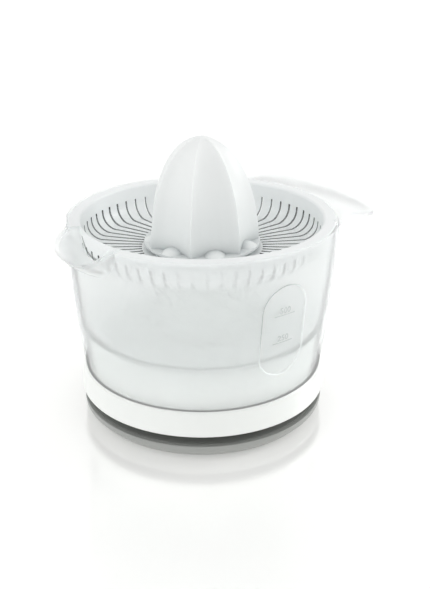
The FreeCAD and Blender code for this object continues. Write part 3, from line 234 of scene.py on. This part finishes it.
def shell_white():
    s = moulded("shell_white", linear(248, 251, 248), 0.24, mottle=0.012, peel=0.05)
    s.set(Subsurface_Weight=0.15, Subsurface_Scale=0.002, Subsurface_Radius=(1, 1, 1), IOR=1.48)
    return s.material


def frosted_white():
    """Frosted polypropylene: light passes, and what is close behind it shows softly."""
    s = moulded("frosted_white", linear(249, 250, 250), 0.8, mottle=0.006)
    s.set(Transmission_Weight=0.67, IOR=1.035)
    return s.material


def sieve_white():
    s = moulded("sieve_white", linear(247, 250, 250), 0.34, mottle=0.008, peel=0.04)
    s.set(Subsurface_Weight=0.2, Subsurface_Scale=0.002, Subsurface_Radius=(1, 1, 1))
    # Painted shade: the slots below the flange turn dark grey.
    s.shade_crevices(linear(60, 62, 62), SLOT_REACH, *SLOT_SHARES, below=SLOTS_BELOW)
    return s.material


def cone_white():
    s = moulded("cone_white", linear(250, 253, 252), 0.32, mottle=0.01, peel=0.05)
    s.set(Subsurface_Weight=0.25, Subsurface_Scale=0.004, Subsurface_Radius=(1, 1, 1))
    # Painted shade: the cone turns grey in its flutes and towards its foot.
    s.shade_crevices(linear(196, 200, 201), FLUTE_REACH, *FLUTE_SHARES)
    return s.material


def metal(name, colour, roughness, brushed=0.0):
    """Metal with faint tarnish and uneven gloss; brushed adds a very fine grain."""
    s = Shader(name)
    colour = linear(*colour)
    blotches = s.noise(TARNISH_SCALE, 4.0)
    s.set(Metallic=1.0, Base_Color=s.ramp(blotches, [(0.25, scaled(colour, 0.86)), (0.75, colour)]))
    low, high = roughness * (1 - METAL_GLOSS_SPREAD), roughness * (1 + METAL_GLOSS_SPREAD)
    s.set(Roughness=s.spread(s.noise(METAL_GLOSS_SCALE, 3.0), low, high))
    if brushed:
        s.bump(s.noise(BRUSH_SCALE, 1.0), brushed, BRUSH_DEPTH)
    return s.material


def laminated(name, colour):
    """Stack of thin steel sheets, seen as fine level lines."""
    s = Shader(name)
    colour = linear(*colour)
    sheets = s.wave("Z", SHEET_SCALE, 0.4)
    s.set(Metallic=0.85, Base_Color=s.ramp(sheets, [(0.0, scaled(colour, 0.55)), (0.45, colour)]))
    s.set(Roughness=s.spread(s.noise(SHEET_GLOSS_SCALE), 0.35, 0.55))
    s.bump(sheets, 0.4, SHEET_DEPTH)
    return s.material


def wound(name, colour):
    """Enamelled wire, laid in turns round the leg that runs along X."""
    s = Shader(name)
    colour = linear(*colour)
    turns = s.wave("X", WIRE_SCALE, 0.6)
    s.set(Metallic=0.7, Coat_Weight=0.4, Coat_Roughness=0.2)
    s.set(Base_Color=s.ramp(turns, [(0.0, scaled(colour, 0.4)), (0.6, colour)]))
    s.set(Roughness=s.spread(s.noise(WIRE_GLOSS_SCALE), 0.28, 0.42))
    s.bump(turns, 0.6, WIRE_DEPTH)
    return s.material


# Slots whose material follows from a colour, a roughness and a pattern.
PLASTICS = {
    "lower_grey": ((164, 166, 163), 0.42, dict(mottle=0.04, grain=0.15)),
    "groove_grey": ((145, 147, 144), 0.5, dict(mottle=0.06, grain=0.2)),
    "foot_rubber": ((52, 52, 52), 0.75, dict(mottle=0.12, grain=0.4)),
    "seal_rubber": ((30, 30, 30), 0.75, dict(mottle=0.12, grain=0.4)),
    "bobbin_black": ((30, 30, 32), 0.4, dict(mottle=0.1, peel=0.1)),
    "gear_natural": ((232, 229, 214), 0.38, dict(mottle=0.03, peel=0.08)),
    "magnet_ferrite": ((56, 57, 60), 0.55, dict(mottle=0.2, grain=0.5)),
    "chassis_nylon": ((178, 181, 179), 0.48, dict(mottle=0.06, grain=0.25)),
    "switch_black": ((26, 26, 27), 0.35, dict(mottle=0.08, peel=0.1)),
    "button_red": ((186, 40, 32), 0.3, dict(mottle=0.05, peel=0.05)),
    "plunger_nylon": ((214, 214, 208), 0.4, dict(mottle=0.03, peel=0.08)),
}
METALS = {
    "screw_steel": ((196, 197, 194), 0.34, 0.0),
    "shaft_steel": ((206, 207, 208), 0.22, 0.2),
    "spring_steel": ((178, 179, 182), 0.26, 0.0),
    "bearing_bronze": ((176, 132, 78), 0.4, 0.3),
}


def all_materials():
    """Every slot's material, by the slot's name."""
    materials = {
        "shell_white": shell_white(),
        "frosted_white": frosted_white(),
        "sieve_white": sieve_white(),
        "cone_white": cone_white(),
        "core_steel": laminated("core_steel", (126, 130, 136)),
        "winding_copper": wound("winding_copper", (184, 104, 58)),
    }
    for name, (colour, roughness, pattern) in PLASTICS.items():
        materials[name] = plain(name, colour, roughness, **pattern)
    for name, (colour, roughness, brushed) in METALS.items():
        materials[name] = metal(name, colour, roughness, brushed)
    return materials


def dress_nodes():
    """Gives every CAD node the material of its slot."""
    materials = all_materials()
    for part in frame["record"]["subparts"]:
        mesh = NODES[part["node"]].data
        mesh.materials.clear()
        mesh.materials.append(materials[part["material_slot"]])


# ---------------------------------------------------------------- pieces of the scene's own


def add_spring():
    """The press spring as a piece of its own."""
    coil = bpy.data.objects.new("press_spring_coil", NODES["press_spring"].data.copy())
    bpy.context.scene.collection.objects.link(coil)
    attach(coil, "base")
    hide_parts("press_spring")
    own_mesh(coil)


def add_mesh(name, bm, material):
    """Piece of the jug, from a closed mesh."""
    mesh = bpy.data.meshes.new(name)
    bmesh.ops.recalc_face_normals(bm, faces=bm.faces)
    bm.to_mesh(mesh)
    bm.free()
    mesh.materials.append(material)
    piece = bpy.data.objects.new(name, mesh)
    bpy.context.scene.collection.objects.link(piece)
    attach(piece, "jug")


def jug_wall():
    """Function from an angle and a height to the point of the jug's outside
    and the direction outward."""
    mesh = NODES["jug"].data
    corners = [v.co for v in mesh.vertices]
    tree = BVHTree.FromPolygons(corners, [p.vertices for p in mesh.polygons])
    start = 0.2

    def find(angle, height):
        outward = Vector((math.cos(angle), math.sin(angle), 0))
        point, _, _, _ = tree.ray_cast(outward * start + Vector((0, 0, height)), -outward)
        return point, outward

    return find


# The window faces -Y. Its lines stand at the heights of their volumes in the jug, in ml.
WINDOW_ANGLE = math.radians(-90.0)
WINDOW_W = 0.0304
WINDOW_H = 0.0558
WINDOW_Z = 0.0754
BESIDE_WINDOW = math.radians(25)

BEAD_W = 0.0009
BEAD_PROUD = 0.00022
BEAD_TURN_STEPS = 24
BEAD_SIDE_STEPS = 12
BEAD_ARC_STEPS = 6
# Slant and ends of the painted shade across the window's edge, from grey at its upper left to white
# at its lower right.
BEAD_SLANT = -0.6
BEAD_SHADED = -0.062
BEAD_CLEAR = -0.044

MARK_LEVELS = {"500": 0.0853, "250": 0.0683}
MARK_WIDTH = 0.0144
MARK_HEIGHT = 0.0006
MARK_STEPS = 16
MARK_END = 0.4
MARK_PROUD = 0.00012
SUNK = 0.0003
DIGIT_SIZE = 0.00504
DIGIT_BOLDER = 0.000072
DIGIT_RISE = 0.00108


def bead_material():
    """The window's raised edge: opaque white at its lower right, a painted highlight, and painted
    shade in grey at its upper left.
    """
    white = linear(252, 255, 255)
    s = moulded("window_edge", white, 0.3, mottle=0.008, peel=0.04)
    axes = s.axes(s.position())
    across = s.maths("MULTIPLY_ADD", axes["Z"], BEAD_SLANT, axes["X"])
    share = s.spread(across, 0.0, 1.0, BEAD_SHADED, BEAD_CLEAR)
    s.set(Base_Color=s.ramp(share, [(0.0, linear(196, 200, 199)), (1.0, white)]))
    return s.material


def stadium(width, height):
    """Points of a stadium outline with the direction outward at each."""
    radius = width / 2
    straight = (height - width) / 2
    path = []
    for side in (1, -1):
        for k in range(BEAD_TURN_STEPS + 1):
            turn = math.pi * k / BEAD_TURN_STEPS
            x, y = side * math.cos(turn), side * math.sin(turn)
            path.append((radius * x, side * straight + radius * y, x, y))
        for k in range(1, BEAD_SIDE_STEPS):
            y = side * straight * (1 - 2 * k / BEAD_SIDE_STEPS)
            path.append((-side * radius, y, -side, 0))
    return path


def bead_mesh():
    """Closed half-round bead along the window's outline, drawn flat in x and y."""
    bm = bmesh.new()
    section = []
    for k in range(BEAD_ARC_STEPS + 1):
        turn = math.pi * k / BEAD_ARC_STEPS
        section.append((BEAD_W / 2 * math.cos(turn), math.sin(turn)))
    rings = []
    for x, y, out_x, out_y in stadium(WINDOW_W, WINDOW_H):
        rings.append([bm.verts.new((x + out_x * u, y + out_y * u, h)) for u, h in section])
    for i, ring in enumerate(rings):
        after = rings[(i + 1) % len(rings)]
        for k in range(len(section)):
            beside = (k + 1) % len(section)
            bm.faces.new((ring[k], after[k], after[beside], ring[beside]))
    return bm


def add_window_edge(find):
    """Lays the bead at the radius that the wall has beside the window."""
    bead = bead_mesh()
    for vert in bead.verts:
        level = WINDOW_Z + vert.co.y
        radius = find(WINDOW_ANGLE + BESIDE_WINDOW, level)[0].xy.length
        angle = WINDOW_ANGLE + vert.co.x / radius
        out = radius + vert.co.z * BEAD_PROUD - (1 - vert.co.z) * SUNK
        vert.co = Vector((out * math.cos(angle), out * math.sin(angle), level))
    add_mesh("window_edge", bead, bead_material())


def print_on_wall(bm, find, height):
    """Bends a flat closed mesh, drawn in x and y with z as its thickness, onto the wall."""
    for vert in bm.verts:
        level = height + vert.co.y
        point, _ = find(WINDOW_ANGLE, level)
        angle = WINDOW_ANGLE + vert.co.x / point.xy.length
        point, outward = find(angle, level)
        vert.co = point + outward * (MARK_PROUD if vert.co.z > 0 else -SUNK)


def line_mesh():
    """Bar with tapered ends, divided along its length so that it can follow the wall."""
    bm = bmesh.new()
    rows = []
    for z in (0.0, 1.0):
        for side in (-1, 1):
            row = []
            for i in range(MARK_STEPS + 1):
                x = -MARK_WIDTH / 2 + MARK_WIDTH * i / MARK_STEPS
                taper = MARK_END if i in (0, MARK_STEPS) else 1.0
                row.append(bm.verts.new((x, side * MARK_HEIGHT / 2 * taper, z)))
            rows.append(row)
    low_a, low_b, high_a, high_b = rows
    for i in range(MARK_STEPS):
        for a, b in ((low_a, low_b), (high_b, high_a), (low_b, high_b), (high_a, low_a)):
            bm.faces.new((a[i], a[i + 1], b[i + 1], b[i]))
    for i in (0, MARK_STEPS):
        bm.faces.new((low_a[i], low_b[i], high_b[i], high_a[i]))
    return bm


def digits_mesh(text):
    """Closed mesh of a number, from a text curve."""
    curve = bpy.data.curves.new("digits", "FONT")
    curve.body = text
    curve.size = DIGIT_SIZE
    curve.align_x = "CENTER"
    curve.extrude = 0.5
    curve.offset = DIGIT_BOLDER
    curve.resolution_u = 4
    holder = bpy.data.objects.new("digits", curve)
    bpy.context.scene.collection.objects.link(holder)
    bpy.context.view_layer.update()
    bm = bmesh.new()
    bm.from_mesh(bpy.data.meshes.new_from_object(holder))
    bpy.data.objects.remove(holder)
    bmesh.ops.remove_doubles(bm, verts=bm.verts, dist=1e-6)
    return bm


def add_window_marks(find):
    ink = plain("mark_grey", (218, 222, 221), 0.5, mottle=0.03)
    for text, height in MARK_LEVELS.items():
        line = line_mesh()
        print_on_wall(line, find, height)
        add_mesh("window_line_" + text, line, ink)
        digits = digits_mesh(text)
        print_on_wall(digits, find, height + DIGIT_RISE)
        add_mesh("window_number_" + text, digits, ink)


# ---------------------------------------------------------------- stage, light and camera

FLOOR_Z = -0.001
FLOOR_HALF = 4.0
FLOOR_GLOW_SEEN = 0.24
FLOOR_GLOW = 0.3

# Strength of the world as light: low and high in the sky, and the share left in front.
SKY_LOW = 1.06
SKY_TOP = 0.7
SKY_FRONT = (-0.574, -0.819, 0.0)
SKY_FALL = 0.8

# Each lamp's name, place, size and power.
LAMPS = (
    ("key", (-0.9, 0.2, 0.6), 0.8, 1.25),
    ("fill", (0.98, -0.42, 0.5), 0.5, 2.8),
)
LAMP_AIM = (0, 0, 0.08)

CAMERA_PLACE = (-0.2909, -0.4154, 0.2932)
CAMERA_TURN = math.radians(0.853)
CAMERA_PITCH = math.radians(-23.81)
CAMERA_LENS = 55.5
CAMERA_SENSOR = 36.0
CAMERA_NEAR = 0.05

MAX_BOUNCES = 48
DIFFUSE_BOUNCES = 32
TRANSMISSION_BOUNCES = 40


def add_floor():
    """Pale floor: near white, with the object's soft shadow and a faint reflection."""
    bm = bmesh.new()
    level = Matrix.Translation((0, 0, FLOOR_Z))
    bmesh.ops.create_grid(bm, x_segments=1, y_segments=1, size=FLOOR_HALF, matrix=level)
    mesh = bpy.data.meshes.new("floor")
    bm.to_mesh(mesh)
    bm.free()
    floor = bpy.data.objects.new("floor", mesh)
    bpy.context.scene.collection.objects.link(floor)
    s = Shader("floor")
    s.set(Base_Color=linear(240, 240, 238), Roughness=0.15, Metallic=0.26)
    seen = s.add("ShaderNodeLightPath").outputs["Is Camera Ray"]
    glow = s.spread(seen, FLOOR_GLOW, FLOOR_GLOW_SEEN)
    s.set(Emission_Color=(1, 1, 1, 1), Emission_Strength=glow)
    mesh.materials.append(s.material)


def add_world():
    """White to the camera, in reflections and through the jug; a softer level as light."""
    world = bpy.data.worlds.new("world")
    bpy.context.scene.world = world
    world.use_nodes = True
    tree = Tree(world.node_tree)
    rays = tree.add("ShaderNodeLightPath").outputs
    seen = tree.maths("MAXIMUM", rays["Is Camera Ray"], rays["Is Glossy Ray"])
    seen = tree.maths("MAXIMUM", seen, rays["Is Transmission Ray"])
    direction = tree.add("ShaderNodeTexCoord").outputs["Generated"]
    by_height = tree.spread(tree.axes(direction)["Z"], SKY_LOW, SKY_TOP)
    ahead = tree.add("ShaderNodeVectorMath", operation="DOT_PRODUCT")
    ahead.inputs[1].default_value = SKY_FRONT
    tree.join(direction, ahead.inputs[0])
    in_front = tree.spread(ahead.outputs["Value"], 1.0, SKY_FALL)
    light = tree.maths("MULTIPLY", by_height, in_front)
    strength = tree.spread(seen, light, 1.0)
    tree.feed(tree.nodes["Background"], Color=(1, 1, 1, 1), Strength=strength)


def look_along(holder, direction):
    holder.rotation_euler = direction.to_track_quat("-Z", "Y").to_euler()


def add_lamps():
    """Square area lamps that point at the middle of the jug."""
    for name, place, size, power in LAMPS:
        lamp = bpy.data.lights.new(name, "AREA")
        lamp.size = size
        lamp.energy = power
        holder = bpy.data.objects.new(name, lamp)
        holder.location = place
        look_along(holder, Vector(LAMP_AIM) - Vector(place))
        bpy.context.scene.collection.objects.link(holder)


def add_camera():
    camera = bpy.data.cameras.new("camera")
    camera.sensor_width = CAMERA_SENSOR
    camera.lens = CAMERA_LENS
    camera.clip_start = CAMERA_NEAR
    holder = bpy.data.objects.new("camera", camera)
    holder.location = CAMERA_PLACE
    heading = math.atan2(-CAMERA_PLACE[1], -CAMERA_PLACE[0]) - CAMERA_TURN
    level = math.cos(CAMERA_PITCH)
    x, y = math.cos(heading) * level, math.sin(heading) * level
    look_along(holder, Vector((x, y, math.sin(CAMERA_PITCH))))
    bpy.context.scene.collection.objects.link(holder)
    bpy.context.scene.camera = holder


def set_up_view():
    scene = bpy.context.scene
    scene.view_settings.view_transform = "Standard"
    scene.cycles.max_bounces = MAX_BOUNCES
    scene.cycles.diffuse_bounces = DIFFUSE_BOUNCES
    scene.cycles.transmission_bounces = TRANSMISSION_BOUNCES


wall = jug_wall()
dress_nodes()
add_spring()
add_window_edge(wall)
add_window_marks(wall)
add_floor()
add_world()
add_lamps()
add_camera()
set_up_view()
